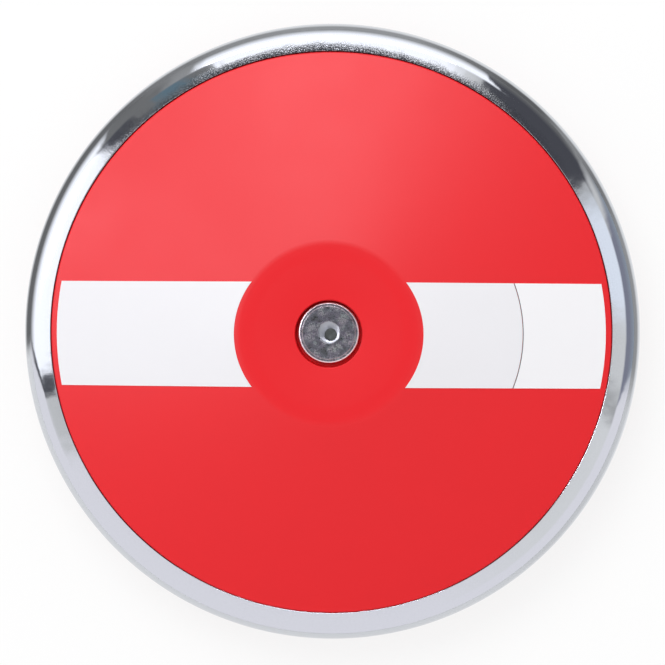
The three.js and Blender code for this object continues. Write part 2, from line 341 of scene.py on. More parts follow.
def polished_plating(disc, sizes):
    """Bright plating over turned and polished steel. It mirrors the room, with slow waves and faint
    rings left by the polishing wheel. A worn strip next to the seam, on one side, glitters in patches: pits
    between bright crests, whose floors carry painted shade, a darker colour for the shade in the hollows.
    They are drawn coarser than they are, so that they show."""
    material = bpy.data.materials.new("polished_bright_plating")
    add = emptied(material)
    place = add("TexCoord").outputs["Object"]
    radius = from_axis(add, place)
    split = add("SeparateXYZ", [place])
    turned = add("CombineXYZ", [radius, split.outputs["Z"]])
    wave = add("TexNoise", {"Vector": place, "Scale": 1 / (9 * MM), "Detail": 2})
    polish = add("TexNoise", {"Vector": turned, "Scale": 1 / (0.35 * MM), "Detail": 3})
    pits = add("TexNoise", {"Vector": place, "Scale": 1 / (0.38 * MM), "Detail": 2})
    patch = add("TexNoise", {"Vector": place, "Scale": 1 / (7 * MM), "Detail": 3})
    seam = disc.seat_radius + sizes.strip_inset
    spread = add("MapRange", [patch, 0.4, 0.62])
    fade = add("MapRange", [spread, 0, 1, seam + sizes.strip_narrow, seam + sizes.strip_wide])
    worn = add("MapRange", [split.outputs["Y"], sizes.strip_start, sizes.strip_full, 0.06, 1])
    glitter = add("MapRange", [radius, seam, fade, worn, 0.02])
    hollow = add("MapRange", [pits, 0.56, 0.46])
    # The pits' floors get a darker colour: painted shade in the hollows, on the +Y side only.
    dark = add("Math", [glitter, hollow], operation="MULTIPLY")
    tone = add("Mix", [dark, opaque(sizes.plating), opaque(sizes.pit_floor_shade)], data_type="RGBA")
    slow = add("Bump", {"Height": wave, "Strength": 0.06, "Distance": 1 * MM})
    rings = add("Bump", {"Height": polish, "Strength": 0.03, "Distance": 0.1 * MM, "Normal": slow})
    sparkle = add("Bump", {"Height": pits, "Strength": glitter, "Distance": 0.05 * MM, "Normal": rings})
    rough = add("MapRange", [wave, 0, 1, sizes.roughness * 0.7, sizes.roughness * 1.3])
    plated = add("BsdfPrincipled", {"Base Color": tone, "Metallic": 1, "Roughness": rough, "Normal": sparkle})
    add("OutputMaterial", [plated])
    return material


def moulded_abs(disc, sizes):
    """Injection moulded ABS, coloured through. A satin skin with the fine grain of the mould and slow
    sink waves, and a little unevenness in its gloss. The flat is duller, where the disc is stacked and
    handled. The pocket's wall is painted a deeper red: painted shade in the recess."""
    material = bpy.data.materials.new("injection_moulded_abs")
    add = emptied(material)
    place = add("TexCoord").outputs["Object"]
    grain = add("TexNoise", {"Vector": place, "Scale": 1 / (0.45 * MM), "Detail": 3})
    sink = add("TexNoise", {"Vector": place, "Scale": 1 / (22 * MM), "Detail": 2})
    patch = add("TexNoise", {"Vector": place, "Scale": 1 / (14 * MM), "Detail": 4})
    slow = add("Bump", {"Height": sink, "Strength": 0.05, "Distance": 1 * MM})
    skin = add("Bump", {"Height": grain, "Strength": 0.12, "Distance": 0.05 * MM, "Normal": slow})
    rough = add("MapRange", [patch, 0, 1, sizes.roughness - 0.05, sizes.roughness + 0.05])
    deeper = opaque([c * 0.97 for c in sizes.plastic])
    shade = add("Mix", [patch, opaque(sizes.plastic), deeper], data_type="RGBA")
    reach = from_axis(add, place)
    wall = sizes.pocket_radius + sizes.pocket_break
    # Inside the pocket's radius the red is deeper: painted shade in the recess.
    pocket_shade_mask = add("MapRange", [reach, wall, wall - 0.1 * MM])
    tone = add("Mix", [pocket_shade_mask, shade, opaque(sizes.pocket_shade)], data_type="RGBA")
    rubbed = add("MapRange", [reach, disc.flat_radius, disc.seat_radius, 0.37, 0.32])
    gloss = add("MapRange", [reach, disc.flat_radius - 1 * MM, disc.flat_radius + 0.5 * MM, 0.22, rubbed])
    plastic = add(
        "BsdfPrincipled",
        {"Base Color": tone, "Roughness": rough, "IOR": 1.5, "Specular IOR Level": gloss, "Normal": skin},
    )
    add("OutputMaterial", [plastic])
    return material


def zinc_plated_steel(sizes):
    """Zinc plated and clear passivated steel. The face is a mottled grey with bluish and purplish
    clouds and crossing scratches. The rolled edge and the broached socket stay bright and smooth. The rolled
    edge and the step inside the band carry a painted pinkish highlight over the burnish, and the drilled hole
    is painted darker: painted shade in the hole."""
    material = bpy.data.materials.new("zinc_plated_steel")
    add = emptied(material)
    place = add("TexCoord").outputs["Object"]
    reach = from_axis(add, add("Mapping", {"Vector": place, "Location": (0, -sizes.drift, 0)}))
    bevel = sizes.head_radius - sizes.bevel_width
    edge = add("MapRange", [reach, bevel - 0.05 * MM, bevel + 0.05 * MM])
    mouth = sizes.key_flats / 2 + sizes.mouth_break
    socket = add("MapRange", [reach, mouth + 0.04 * MM, mouth - 0.04 * MM])
    bright = add("Math", [edge, socket], operation="MAXIMUM")
    height = add("Math", [add("SeparateXYZ", [place]).outputs["Z"]], operation="ABSOLUTE")
    hole_top = sizes.head_top - sizes.key_depth - sizes.pilot_radius
    deep = add("MapRange", [height, hole_top, hole_top - 0.1 * MM])
    drilled = add("Math", [socket, deep], operation="MULTIPLY")
    face_end = sizes.head_radius - sizes.band_width
    from_step = add("Math", [add("Math", [reach, face_end], operation="SUBTRACT")], operation="ABSOLUTE")
    step = add("MapRange", [from_step, 0.2 * MM, 0.1 * MM, 0, 0.2])
    cloud = add("TexNoise", {"Vector": place, "Scale": 1 / (2.6 * MM), "Detail": 5, "Roughness": 0.6})
    hue = add("TexNoise", {"Vector": place, "Scale": 1 / (1.7 * MM), "Detail": 4})
    scratches = [
        add(
            "TexNoise",
            {
                "Vector": add("Mapping", {"Vector": place, "Rotation": (0, 0, turn), "Scale": stretch}),
                "Scale": 1 / (0.3 * MM),
                "Detail": 5,
            },
        )
        for turn, stretch in ((0.3, (0.25, 1, 1)), (-0.2, (1, 0.2, 1)))
    ]
    marks = add("Math", scratches, operation="MULTIPLY")
    whole = add("MapRange", [marks, 0.19, 0.31])
    greys = [(0.38, linear("#595959")), (0.5, opaque(sizes.zinc)), (0.62, linear("#bcbcbc"))]
    tints = [(0.38, linear("#f3fffa")), (0.5, linear("#fffdff")), (0.62, linear("#fff6ff"))]
    grey = add("ValToRGB", [cloud], stops=greys)
    tint = add("ValToRGB", [hue], stops=tints)
    coloured = add("Mix", [1, grey, tint], data_type="RGBA", blend_type="MULTIPLY")
    tone = add("Mix", [whole, linear("#57575b"), coloured], data_type="RGBA")
    # Painted shade: a darker colour down the drilled hole.
    hole_shade = add("Mix", [hue, linear("#414641"), linear("#a8ada8")], data_type="RGBA")
    # The edge and the step inside the band get a painted pinkish highlight; the drilled hole gets painted
    # shade.
    for mask, cover in (
        (edge, opaque(sizes.burnished_and_highlit)),
        (step, opaque(sizes.burnished_and_highlit)),
        (socket, opaque(sizes.broached)),
        (drilled, hole_shade),
    ):
        tone = add("Mix", [mask, tone, cover], data_type="RGBA")
    dull = add("MapRange", [whole, 0, 1, 0.5, 0.24])
    smooth = add("MapRange", [bright, 0, 1, dull, 0.36])
    rough = add("MapRange", [socket, 0, 1, smooth, 0.5])
    depth = add("MapRange", [bright, 0, 1, 0.3, 0.02])
    relief = add("Bump", {"Height": marks, "Strength": depth, "Distance": 0.08 * MM})
    plated = add("BsdfPrincipled", {"Base Color": tone, "Metallic": 1, "Roughness": rough, "Normal": relief})
    add("OutputMaterial", [plated])
    return material


def blanked_mild_steel():
    """Mild steel washers, blanked from sheet: dull grey, with the long grain of the rolled sheet."""
    material = bpy.data.materials.new("blanked_mild_steel")
    add = emptied(material)
    stretched = add("Mapping", {"Vector": add("TexCoord").outputs["Object"], "Scale": (0.06, 1, 1)})
    grain = add("TexNoise", {"Vector": stretched, "Scale": 1 / (0.3 * MM), "Detail": 4})
    tone = add("ValToRGB", [grain], stops=[(0.3, linear("#85868a")), (0.7, linear("#a6a7ab"))])
    relief = add("Bump", {"Height": grain, "Strength": 0.2, "Distance": 0.05 * MM})
    steel = add("BsdfPrincipled", {"Base Color": tone, "Metallic": 1, "Roughness": 0.42, "Normal": relief})
    add("OutputMaterial", [steel])
    return material


def coated_vinyl(name, sizes, film, line_centre=None, line_radius=0):
    """Gloss laminated white vinyl. Nearly even, with a faint orange peel. One piece has a fine printed
    line along its inner edge."""
    material = bpy.data.materials.new(name)
    add = emptied(material)
    place = add("TexCoord").outputs["Object"]
    peel = add("TexNoise", {"Vector": place, "Scale": 1 / (0.7 * MM), "Detail": 2})
    cloud = add("TexNoise", {"Vector": place, "Scale": 1 / (18 * MM), "Detail": 3})
    relief = add("Bump", {"Height": peel, "Strength": 0.06, "Distance": 0.05 * MM})
    tone = add("Mix", [cloud, opaque(film), opaque([c * 0.985 for c in film])], data_type="RGBA")
    if line_centre is not None:
        reach = from_axis(add, add("Mapping", {"Vector": place, "Location": [-c for c in line_centre]}))
        printed = add("Math", [reach, line_radius + sizes.divider_line], operation="LESS_THAN")
        tone = add("Mix", [printed, tone, opaque(sizes.ink)], data_type="RGBA")
    vinyl = add(
        "BsdfPrincipled",
        {"Base Color": tone, "Roughness": 0.5, "IOR": 1.5, "Specular IOR Level": 0.25, "Normal": relief},
    )
    add("OutputMaterial", [vinyl])
    return material


def arc(bm, start, centre, turn, steps):
    """Sweeps a vertex round a centre in the section plane and returns the last one. A positive turn
    goes from the top towards the edge."""
    swept = bmesh.ops.spin(
        bm, geom=[start], cent=(centre[0], 0, centre[1]), axis=(0, 1, 0), angle=turn, steps=steps
    )
    return swept["geom_last"][0]


def polyline(bm, start, corners):
    """Draws straight edges from a vertex through corners of radius, height and rounding, then rounds
    each corner that has a rounding. Returns the last vertex."""
    rounded = []
    for radius, height, rounding in corners:
        end = bm.verts.new((radius, 0, height))
        bm.edges.new((start, end))
        rounded.append((end, rounding))
        start = end
    for vert, rounding in rounded:
        if rounding:
            bmesh.ops.bevel(
                bm, geom=[vert], offset=rounding, offset_type="OFFSET", segments=CORNER_SEGMENTS,
                profile=0.5, affect="VERTICES", material=-1,
            )
    return start


def revolve(bm, steps):
    """Turns the section once round the Z axis and closes it into a solid."""
    bmesh.ops.spin(
        bm, geom=bm.verts[:] + bm.edges[:], cent=(0, 0, 0), axis=(0, 0, 1), angle=math.tau, steps=steps,
        use_merge=True,
    )
    bmesh.ops.remove_doubles(bm, verts=bm.verts, dist=TOUCHING)
    bmesh.ops.recalc_face_normals(bm, faces=bm.faces)


def to_mesh(name, bm):
    """The mesh of what was drawn. The drawing is freed."""
    mesh = bpy.data.meshes.new(name)
    bm.to_mesh(mesh)
    bm.free()
    return mesh


def put_in_scene(name, data):
    """An object in the scene for a mesh, a lamp or a camera."""
    made = bpy.data.objects.new(name, data)
    bpy.context.collection.objects.link(made)
    return made


def finished(name, bm, material, slot, *nodes):
    """Makes the piece from its mesh, with smooth faces between sharp edges, and puts it in its node's
    place on the disc."""
    mesh = to_mesh(name, bm)
    mesh.materials.append(material)
    mesh.shade_smooth()
    mesh.set_sharp_from_angle(angle=SHARP_FROM)
    piece = put_in_scene(name, mesh)
    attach(piece, "root")
    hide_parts(*nodes)
    return piece


def rim_section(disc, sizes):
    """The upper half of the ring's section, from the edge inwards to the web's bore."""
    bm = bmesh.new()
    slope_in = taper_angle(disc) - sizes.crown / 2
    slope_out = taper_angle(disc) + sizes.crown / 2
    edge = bm.verts.new((disc.radius, 0, 0))
    shoulder = arc(bm, edge, (disc.radius - disc.edge_radius, 0), slope_out - math.pi / 2, sizes.edge_steps)
    seam_start = disc.seat_radius + sizes.seam_break
    crown_radius = (shoulder.co.x - seam_start) / (math.sin(slope_out) - math.sin(slope_in))
    crown_centre = (
        shoulder.co.x - crown_radius * math.sin(slope_out),
        shoulder.co.z - crown_radius * math.cos(slope_out),
    )
    seam = arc(bm, shoulder, crown_centre, -sizes.crown, sizes.shoulder_steps)
    top_break = 0.8 * sizes.seam_break
    corners = [
        (disc.seat_radius, seam.co.z, top_break),
        (disc.seat_radius, sizes.web_height, sizes.seam_break),
        (sizes.web_bore, sizes.web_height, sizes.web_chamfer),
        (sizes.web_bore, 0, 0),
    ]
    polyline(bm, seam, corners)
    bmesh.ops.mirror(bm, geom=bm.verts[:] + bm.edges[:], merge_dist=TOUCHING, axis="Z")
    return bm


def plate_section(disc, rim, sizes):
    """The plate's closed section, from the bore out over the face and back along the inside."""
    slope = taper_angle(disc)
    lip_radius = disc.seat_radius - sizes.lip_play
    spigot_radius = rim.web_bore - disc.seat_gap
    spigot_inside = spigot_radius - sizes.spigot_wall
    lip_under = rim.web_height + disc.seat_gap
    boss_radius = sizes.pocket_radius + sizes.boss_wall
    hoop_radius = boss_radius + (spigot_inside - boss_radius) * sizes.hoop_share
    hoop_outside = hoop_radius + sizes.hoop_wall / 2
    hoop_inside = hoop_radius - sizes.hoop_wall / 2
    hoop_draft = sizes.hoop_wall / 8

    def under(radius):
        return taper_height(disc, radius) - sizes.wall / math.cos(slope)

    hoop_foot = under(hoop_outside) - sizes.hoop_depth
    flat_edge_inset = disc.flat_edge_radius * math.tan(slope / 2)
    inner_edge = disc.flat_radius - sizes.wall * math.tan(slope / 2)
    small = sizes.inner_rounding
    bm = bmesh.new()
    start = bm.verts.new((sizes.bore_radius, 0, sizes.pocket_floor))
    corners = [
        (sizes.pocket_radius, sizes.pocket_floor, small / 2),
        (sizes.pocket_radius, disc.flat_height, sizes.pocket_break),
        (disc.flat_radius, disc.flat_height, flat_edge_inset),
        (lip_radius, taper_height(disc, lip_radius), sizes.lip_rounding),
        (lip_radius, lip_under, small / 2),
        (spigot_radius, lip_under, small / 2),
        (spigot_radius, sizes.foot, small),
        (spigot_inside, sizes.foot, small / 2),
        (spigot_inside, under(spigot_inside), small),
        (hoop_outside, under(hoop_outside), small),
        (hoop_outside - hoop_draft, hoop_foot, small / 2),
        (hoop_inside + hoop_draft, hoop_foot, small / 2),
        (hoop_inside, under(hoop_inside), small),
        (inner_edge, disc.flat_height - sizes.wall, small),
        (boss_radius, disc.flat_height - sizes.wall, small),
        (boss_radius, sizes.boss_foot, small / 2),
        (sizes.bore_radius, sizes.boss_foot, 0),
    ]
    last = polyline(bm, start, corners)
    bm.edges.new((last, start))
    return bm


def rib_mesh(disc, rim, sizes, weight_edge):
    """One rib on edge along +X, thinner at its foot so that it leaves the mould."""
    slope = taper_angle(disc)
    inner = sizes.pocket_radius + sizes.boss_wall / 2
    outer = rim.web_bore - disc.seat_gap - sizes.spigot_wall / 2
    buried = sizes.wall / 2

    def top(radius):
        under_flat = disc.flat_height - sizes.wall
        under_taper = taper_height(disc, radius) - sizes.wall / math.cos(slope)
        return min(under_flat, under_taper) + buried

    outline = [
        (inner, sizes.boss_foot),
        (weight_edge, sizes.boss_foot),
        (weight_edge, sizes.foot),
        (outer, sizes.foot),
        (outer, top(outer)),
        (disc.flat_radius, top(disc.flat_radius)),
        (inner, top(inner)),
    ]
    bm = bmesh.new()
    face = bm.faces.new([bm.verts.new((radius, -sizes.rib_wall / 2, height)) for radius, height in outline])
    pushed = bmesh.ops.extrude_face_region(bm, geom=[face])["geom"]
    moved = [v for v in pushed if isinstance(v, bmesh.types.BMVert)]
    bmesh.ops.translate(bm, verts=moved, vec=(0, sizes.rib_wall, 0))
    feet = [v for v in bm.verts if v.co.z < sizes.boss_foot + TOUCHING]
    bmesh.ops.scale(bm, verts=feet, vec=(1, sizes.rib_foot, 1))
    bmesh.ops.recalc_face_normals(bm, faces=bm.faces)
    return bm


def ribbed_plate(disc, rim, sizes, weight_edge):
    """A whole side plate: the turned shell with its ribs joined on."""
    shell = plate_section(disc, rim, sizes)
    revolve(shell, disc.turn_steps)
    ribs = bmesh.new()
    for i in range(sizes.rib_count):
        rib = rib_mesh(disc, rim, sizes, weight_edge)
        place = (i + 1 / 2) * math.tau / sizes.rib_count
        bmesh.ops.rotate(rib, verts=rib.verts, matrix=Matrix.Rotation(place, 3, "Z"))
        take_in(ribs, rib)
    return booleaned(shell, ribs, "UNION")


def take_in(target, extra):
    """Adds one mesh to another as a separate body."""
    mesh = to_mesh("passing", extra)
    target.from_mesh(mesh)
    bpy.data.meshes.remove(mesh)


def booleaned(base, tool, operation):
    """Joins or cuts one closed mesh with another and returns the result as a mesh to go on with."""
    body, cutter = [put_in_scene(name, to_mesh(name, bm)) for name, bm in (("base", base), ("tool", tool))]
    modifier = body.modifiers.new("Boolean", "BOOLEAN")
    modifier.object = cutter
    modifier.operation = operation
    modifier.solver = "EXACT"
    modifier.use_self = True
    graph = bpy.context.evaluated_depsgraph_get()
    result = bmesh.new()
    result.from_object(body, graph)
    for made in (body, cutter):
        mesh = made.data
        bpy.data.objects.remove(made)
        bpy.data.meshes.remove(mesh)
    if not result.faces:
        raise RuntimeError("a boolean left nothing")
    bmesh.ops.remove_doubles(result, verts=result.verts, dist=TOUCHING)
    return result


def key_socket(sizes):
    """The hollow in a head: countersunk mouth, six walls, a sloping floor, and the hole that was drilled
    before the hexagon was broached, a little off its middle."""
    flats = sizes.key_flats / 2
    floor = sizes.head_top - sizes.key_depth
    corners = flats / math.cos(math.pi / 6)
    hexagon = bmesh.new()
    bmesh.ops.create_cone(
        hexagon, cap_ends=True, segments=6, radius1=corners, radius2=corners, depth=2 * sizes.key_depth,
        matrix=Matrix.Translation((0, 0, sizes.head_top)),
    )
    turned = bmesh.new()
    rise = sizes.key_depth / 2
    cone = 0.97 * flats
    core = sizes.pilot_radius / 2
    cone_tip = floor - (cone - core) * math.tan(sizes.floor_slope)
    start = turned.verts.new((0, 0, sizes.head_top + rise))
    outline = [
        (flats + sizes.mouth_break + rise, sizes.head_top + rise, 0),
        (cone, sizes.head_top - sizes.mouth_break - flats + cone, 0),
        (cone, floor, 0),
        (core, cone_tip, 0),
        (0, cone_tip, 0),
    ]
    polyline(turned, start, outline)
    revolve(turned, sizes.socket_steps)
    pilot = bmesh.new()
    bmesh.ops.create_cone(
        pilot, cap_ends=True, segments=sizes.pilot_steps, radius1=sizes.pilot_radius,
        radius2=sizes.pilot_radius, depth=2 * sizes.pilot_depth,
        matrix=Matrix.Translation((sizes.pilot_drift_x, sizes.pilot_drift_y, floor)),
    )
    return booleaned(booleaned(hexagon, turned, "UNION"), pilot, "UNION")


def head_corners(sizes):
    """The flat head that the screw and the nut share: face, step, band, bevel, rolled edge, underside."""
    face = sizes.head_radius - sizes.band_width
    bevel = sizes.head_radius - sizes.bevel_width
    band_top = sizes.head_top - sizes.ring_depth
    bevel_top = band_top - (bevel - face) * math.tan(sizes.band_slope)
    edge_top = bevel_top - sizes.bevel_width * math.tan(sizes.bevel_slope)
    under = sizes.head_top - sizes.head_thickness
    return [
        (face, sizes.head_top, sizes.ring_depth / 2),
        (face + sizes.ring_depth, band_top, sizes.ring_depth / 2),
        (bevel, bevel_top, sizes.ring_depth / 2),
        (sizes.head_radius, edge_top, sizes.edge_rounding),
        (sizes.head_radius, under, sizes.edge_rounding),
        (sizes.sleeve_radius, under, sizes.edge_rounding),
    ]


def turned_fastener(sizes, lower_corners):
    """A turned head and body with the key socket cut into it."""
    bm = bmesh.new()
    start = bm.verts.new((0, 0, sizes.head_top))
    polyline(bm, start, head_corners(sizes) + lower_corners)
    revolve(bm, sizes.head_steps)
    return booleaned(bm, key_socket(sizes), "DIFFERENCE")


def screw_corners(sizes, gap):
    """The screw's body under its head: the length that fills the sleeve's place, then the shank."""
    shoulder = sizes.sleeve_top + gap
    core = sizes.shank_radius - sizes.thread_depth
    chamfer = sizes.thread_depth
    return [
        (sizes.sleeve_radius, shoulder, sizes.edge_rounding),
        (core, shoulder, 0),
        (core, sizes.shank_end + chamfer, 0),
        (core - chamfer, sizes.shank_end, 0),
        (0, sizes.shank_end, 0),
    ]


def thread_mesh(sizes, gap):
    """The screw's thread: a ridge swept along a helix and closed at both ends. Its root lies a little
    inside the core, so that the two join."""
    bm = bmesh.new()
    root = sizes.shank_radius - 1.05 * sizes.thread_depth
    half_root = 0.42 * sizes.thread_pitch
    half_crest = half_root / 6
    top = sizes.sleeve_top - sizes.thread_pitch
    profile = (
        (root, top - half_root),
        (sizes.shank_radius, top - half_crest),
        (sizes.shank_radius, top + half_crest),
        (root, top + half_root),
    )
    ridge = bm.faces.new([bm.verts.new((radius, 0, height)) for radius, height in profile])
    turns = math.floor((top - sizes.shank_end - 2 * sizes.thread_pitch) / sizes.thread_pitch)
    drop = sizes.thread_pitch / sizes.thread_steps
    bmesh.ops.spin(
        bm, geom=[ridge], cent=(0, 0, 0), axis=(0, 0, 1), dvec=(0, 0, -drop), angle=math.tau * turns,
        steps=sizes.thread_steps * turns,
    )
    bmesh.ops.recalc_face_normals(bm, faces=bm.faces)
    return bm


def nut_corners(sizes):
    """The nut's sleeve and the blind bore that takes the screw, drawn head up."""
    return [
        (sizes.sleeve_radius, -sizes.sleeve_top, sizes.edge_rounding),
        (sizes.sleeve_bore, -sizes.sleeve_top, sizes.edge_rounding),
        (sizes.sleeve_bore, sizes.sleeve_floor, 0),
        (0, sizes.sleeve_floor, 0),
    ]


def label_mesh(disc, sizes, inner, outer, turn):
    """A label between two arcs, each given by its reach along +X and its radius. It is bridged in plan,
    cut fine, laid on the taper and given its thickness."""
    bm = bmesh.new()
    for reach, radius in (inner, outer):
        sweep = math.asin(sizes.height / 2 / radius)
        centre = reach - radius
        start = bm.verts.new((centre + radius * math.cos(sweep), -radius * math.sin(sweep), 0))
        bmesh.ops.spin(
            bm, geom=[start], cent=(centre, 0, 0), axis=(0, 0, 1), angle=2 * sweep, steps=sizes.arc_steps
        )
    edges = bm.edges[:]
    bmesh.ops.bridge_loops(bm, edges=edges)
    across = [e for e in bm.edges if e not in edges]
    bmesh.ops.subdivide_edges(bm, edges=across, cuts=sizes.cuts, use_grid_fill=True)
    bmesh.ops.rotate(bm, verts=bm.verts, matrix=Matrix.Rotation(turn, 3, "Z"))
    bmesh.ops.translate(bm, verts=bm.verts, vec=(0, -sizes.drop, 0))
    lift = sizes.lift / math.cos(taper_angle(disc))
    for vert in bm.verts:
        vert.co.z = taper_height(disc, vert.co.xy.length) + lift
    bmesh.ops.recalc_face_normals(bm, faces=bm.faces)
    if sum(face.normal.z for face in bm.faces) < 0:
        bmesh.ops.reverse_faces(bm, faces=bm.faces)
    bmesh.ops.solidify(bm, geom=bm.faces, thickness=-sizes.thickness)
    return bm


class DISCUS_OT_rim(bpy.types.Operator):
    """Builds the plated steel rim"""

    bl_idname = "discus.rim"
    bl_label = "Rim"

    def execute(self, context):
        disc, sizes = context.scene.discus_form, context.scene.discus_rim
        bm = rim_section(disc, sizes)
        revolve(bm, disc.turn_steps)
        finished("steel_rim", bm, polished_plating(disc, sizes), "rim_plated_steel", "rim")
        return {"FINISHED"}


class DISCUS_OT_side_plates(bpy.types.Operator):
    """Builds the two ribbed side plates"""

    bl_idname = "discus.side_plates"
    bl_label = "Side plates"

    def execute(self, context):
        disc, sizes = context.scene.discus_form, context.scene.discus_plates
        material = moulded_abs(disc, sizes)
        weight_edge = corner("trim_weight_1", 1, "x") + disc.seat_gap
        for name, turn, node in (
            ("front_plate", 0, "front_side_plate"),
            ("back_plate", math.pi, "back_side_plate"),
        ):
            bm = ribbed_plate(disc, context.scene.discus_rim, sizes, weight_edge)
            bmesh.ops.rotate(bm, verts=bm.verts, matrix=Matrix.Rotation(turn, 3, "X"))
            bmesh.ops.translate(bm, verts=bm.verts, vec=(0, -sizes.shift, 0))
            finished(name, bm, material, "side_plate_red", node)
        return {"FINISHED"}


class DISCUS_OT_fasteners(bpy.types.Operator):
    """Builds the centre screw and its sleeve nut"""

    bl_idname = "discus.fasteners"
    bl_label = "Screw and nut"

    def execute(self, context):
        disc, sizes = context.scene.discus_form, context.scene.discus_fasteners
        material = zinc_plated_steel(sizes)
        screw = turned_fastener(sizes, screw_corners(sizes, disc.seat_gap))
        screw = booleaned(screw, thread_mesh(sizes, disc.seat_gap), "UNION")
        nut = turned_fastener(sizes, nut_corners(sizes))
        bmesh.ops.rotate(nut, verts=nut.verts, matrix=Matrix.Rotation(math.pi, 3, "X"))
        for name, bm, node in (
            ("flat_head_screw", screw, "centre_screw"),
            ("sleeve_nut", nut, "centre_sleeve_nut"),
        ):
            bmesh.ops.translate(bm, verts=bm.verts, vec=(0, sizes.drift, 0))
            finished(name, bm, material, "fastener_zinc", node)
        return {"FINISHED"}


class DISCUS_OT_trim_weights(bpy.types.Operator):
    """Gives the steel trim weights their finish"""

    bl_idname = "discus.trim_weights"
    bl_label = "Trim weights"

    def execute(self, context):
        material = blanked_mild_steel()
        for name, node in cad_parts.items():
            if name.startswith("trim_weight"):
                for slot in node.material_slots:
                    slot.material = material
        return {"FINISHED"}


class DISCUS_OT_labels(bpy.types.Operator):
    """Lays the plain labels on the front plate"""

    bl_idname = "discus.labels"
    bl_label = "Labels"

    def execute(self, context):
        disc, sizes = context.scene.discus_form, context.scene.discus_labels
        reach = disc.flat_radius + sizes.standoff
        outer_radius = disc.seat_radius - sizes.margin
        divider = reach + (outer_radius - reach) * sizes.divider_share
        hollow = (reach, sizes.hollow_radius)
        outer = (outer_radius, outer_radius)
        divider_in = (divider, sizes.divider_radius)
        divider_out = (divider + sizes.divider_gap, sizes.divider_radius + sizes.divider_gap)
        plain = coated_vinyl("coated_white_vinyl", sizes, sizes.vinyl)
        centre = Matrix.Rotation(sizes.turn, 3, "Z") @ Vector((divider - sizes.divider_radius, 0, 0))
        centre.y -= sizes.drop
        lined = coated_vinyl("coated_white_vinyl_lined", sizes, sizes.end_vinyl, centre, divider_out[1])
        for name, inside, outside, turn, material, node in (
            ("left_label", hollow, outer, math.pi, plain, "label_left"),
            ("right_label", hollow, divider_in, sizes.turn, plain, "label_right_inner"),
            ("right_end_label", divider_out, outer, sizes.turn, lined, "label_right_outer"),
        ):
            bm = label_mesh(disc, sizes, inside, outside, turn)
            finished(name, bm, material, "label_vinyl", node)
        return {"FINISHED"}


def round_the_horizon(*sectors):
    """Ramp stops for sectors of first azimuth, last azimuth and tone, in degrees from -180 to 180. A
    sector with no width makes one stop."""
    ends = [(azimuth, tone) for first, last, tone in sectors for azimuth in sorted({first, last})]
    return [((azimuth + 180) / 360, tone) for azimuth, tone in ends]


def azimuth_share(add, direction):
    """The azimuth of a direction or place as a share of a turn from -180 degrees, and its height."""
    split = add("SeparateXYZ", [direction])
    turn = add("Math", [split.outputs["Y"], split.outputs["X"]], operation="ARCTAN2")
    return add("MapRange", [turn, -math.pi, math.pi]), split.outputs["Z"]


